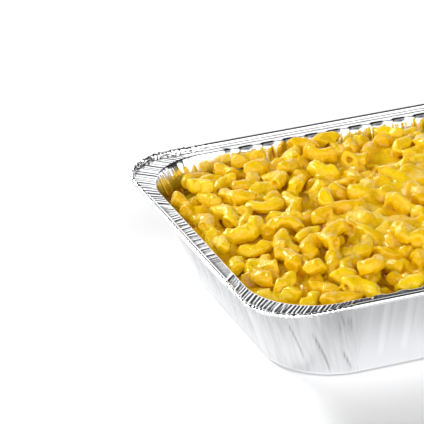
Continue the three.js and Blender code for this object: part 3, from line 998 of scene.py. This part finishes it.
def paint_and_stretch(heap, field):
    """Stores how deep in a gap each vertex lies, for the painted shade there, and its noodle's tone, and
    stretches the core down.
    """
    mesh = heap.data
    places = np.zeros(len(mesh.vertices) * 3)
    mesh.vertices.foreach_get("co", places)
    places = places.reshape(-1, 3) / MM
    solid = np.clip(0.5 - field.values / field.step, 0, 1)
    near = field.sampled(box_blur(solid, round(NEAR_REACH / field.step)), places)
    wide = field.sampled(box_blur(solid, round(WIDE_REACH / field.step)), places)
    # Painted shade: the deeper a vertex lies in a gap, the darker the sauce is painted.
    gap = smooth(*GAP_SHADE_RANGE, 0.5 * near + 0.5 * wide)
    tone = field.sampled(field.tone, places)
    for name, values in (("gap", gap), ("tone", tone)):
        mesh.attributes.new(name, "FLOAT", "POINT").data.foreach_set("value", values.astype(np.float32))
    places[:, 2] = true_height(places[:, 2])
    mesh.vertices.foreach_set("co", (places * MM).ravel())
    mesh.update()


# ------------------------------------------------------------------ stage, lights and camera
CAMERA_AZIMUTH = -20.78
CAMERA_ELEVATION = 25.3
CAMERA_ROLL = -1.51
CAMERA_DISTANCE = 2401.3
FOCAL_PIXELS = 3680.6
FRAME_PIXELS = 424
AIM_RIGHT = -133.64
AIM_UP = 14.83
AIM_HEIGHT = 40.0
SENSOR = 36.0

WHITE = (1, 1, 1, 1)
BACKDROP = (0.62, 0.62, 0.62, 1)
DARK = (0.02, 0.02, 0.022, 1)
SIDE_DARK = (0.25, 0.25, 0.26, 1)
WORLD_STRENGTH = 2.25
# Degrees over the studio from the far horizon: the backdrop's top, and where the dark part and
# the white one behind the camera begin and end.
BACKDROP_TOP, DARK_START, DARK_END, WHITE_START = 26, 31, 106, 124
SIDE_RANGE = (0.55, 0.85)  # sideways share of a direction, from white to dark
SIDE_HEIGHTS = (0.2, 0.45)  # upward share of a direction, from where the sides darken
FLOOR_SIZE = 8.0  # metres, as are the places below
FLOOR_Z = -0.0002
KEY_PLACE = (-1.0, 1.75, 1.45)
KEY_AIM = (0, 0, 0.04)
KEY_SIZE = 0.5
KEY_POWER = 44


def make_camera():
    a, e = math.radians(CAMERA_AZIMUTH), math.radians(CAMERA_ELEVATION)
    back = Vector((math.sin(a) * math.cos(e), -math.cos(a) * math.cos(e), math.sin(e)))
    right = Vector((math.cos(a), math.sin(a), 0))
    up = back.cross(right)
    target = Vector((0, 0, AIM_HEIGHT)) + right * AIM_RIGHT + up * AIM_UP
    roll = math.radians(CAMERA_ROLL)
    turned_right = right * math.cos(roll) + up * math.sin(roll)
    turned_up = up * math.cos(roll) - right * math.sin(roll)
    data = bpy.data.cameras.new("camera")
    data.sensor_width = SENSOR
    data.lens = FOCAL_PIXELS * SENSOR / FRAME_PIXELS
    data.clip_end = 100
    camera = bpy.data.objects.new("camera", data)
    frame_axes = Matrix((turned_right, turned_up, back)).transposed().to_4x4()
    camera.matrix_world = Matrix.Translation((target + back * CAMERA_DISTANCE) * MM) @ frame_axes
    bpy.context.scene.collection.objects.link(camera)
    bpy.context.scene.camera = camera


def make_key_light():
    data = bpy.data.lights.new("key", "AREA")
    data.shape = "RECTANGLE"
    data.size = data.size_y = KEY_SIZE
    data.energy = KEY_POWER
    light = bpy.data.objects.new("key", data)
    light.location = KEY_PLACE
    light.rotation_euler = (Vector(KEY_AIM) - Vector(KEY_PLACE)).to_track_quat("-Z", "Y").to_euler()
    bpy.context.scene.collection.objects.link(light)


def make_world():
    """A white studio, dark from above the far backdrop to overhead, and at the sides."""
    world = bpy.data.worlds.new("studio")
    bpy.context.scene.world = world
    world.use_nodes = True
    tree = world.node_tree

    def add(kind, operation=None, **values):
        node = tree.nodes.new(kind)
        if operation:
            node.operation = operation
        for key, value in values.items():
            setattr(node, key, value)
        return node

    def along(direction):
        dot = add("ShaderNodeVectorMath", "DOT_PRODUCT")
        tree.links.new(place.outputs["Generated"], dot.inputs[0])
        dot.inputs[1].default_value = direction
        return dot.outputs["Value"]

    place = add("ShaderNodeTexCoord")
    a = math.radians(CAMERA_AZIMUTH)
    far = along((-math.sin(a), math.cos(a), 0))
    side = along((math.cos(a), math.sin(a), 0))
    height = along((0, 0, 1))
    over = add("ShaderNodeMath", "ARCTAN2")
    tree.links.new(height, over.inputs[0])
    tree.links.new(far, over.inputs[1])
    turned = add("ShaderNodeMath", "DIVIDE")
    tree.links.new(over.outputs["Value"], turned.inputs[0])
    turned.inputs[1].default_value = math.pi
    arch = add("ShaderNodeValToRGB")
    tree.links.new(turned.outputs["Value"], arch.inputs["Fac"])
    stops = arch.color_ramp.elements
    stops[0].position, stops[0].color = BACKDROP_TOP / 180, BACKDROP
    stops[1].position, stops[1].color = DARK_START / 180, DARK
    for angle, colour in ((DARK_END, DARK), (WHITE_START, WHITE)):
        stop = stops.new(angle / 180)
        stop.color = colour
    width = add("ShaderNodeMath", "ABSOLUTE")
    tree.links.new(side, width.inputs[0])
    sides = add("ShaderNodeValToRGB")
    tree.links.new(width.outputs["Value"], sides.inputs["Fac"])
    stops = sides.color_ramp.elements
    stops[0].position, stops[0].color = SIDE_RANGE[0], WHITE
    stops[1].position, stops[1].color = SIDE_RANGE[1], SIDE_DARK
    both = add("ShaderNodeMix", data_type="RGBA", blend_type="MULTIPLY")
    high = add("ShaderNodeMapRange")
    tree.links.new(height, high.inputs["Value"])
    high.inputs["From Min"].default_value = SIDE_HEIGHTS[0]
    high.inputs["From Max"].default_value = SIDE_HEIGHTS[1]
    tree.links.new(high.outputs["Result"], both.inputs["Factor"])
    tree.links.new(arch.outputs["Color"], both.inputs["A"])
    tree.links.new(sides.outputs["Color"], both.inputs["B"])
    ground = tree.nodes["Background"]
    tree.links.new(both.outputs["Result"], ground.inputs["Color"])
    ground.inputs["Strength"].default_value = WORLD_STRENGTH


def make_stage(material):
    bpy.ops.mesh.primitive_plane_add(size=FLOOR_SIZE, location=(0, 0, FLOOR_Z))
    floor = bpy.context.object
    floor.name = "studio_floor"
    floor.data.materials.append(material)
    bpy.context.scene.view_settings.view_transform = "Standard"
    make_world()
    make_key_light()


# ------------------------------------------------------------------ the scene
foil = foil_material()
cheese = cheese_material()

pan = make_tray(foil)
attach(pan, "root")
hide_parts("tray")

heap = make_heap(cheese)
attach(heap, "root")
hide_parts("macaroni")

make_stage(floor_material())
make_camera()
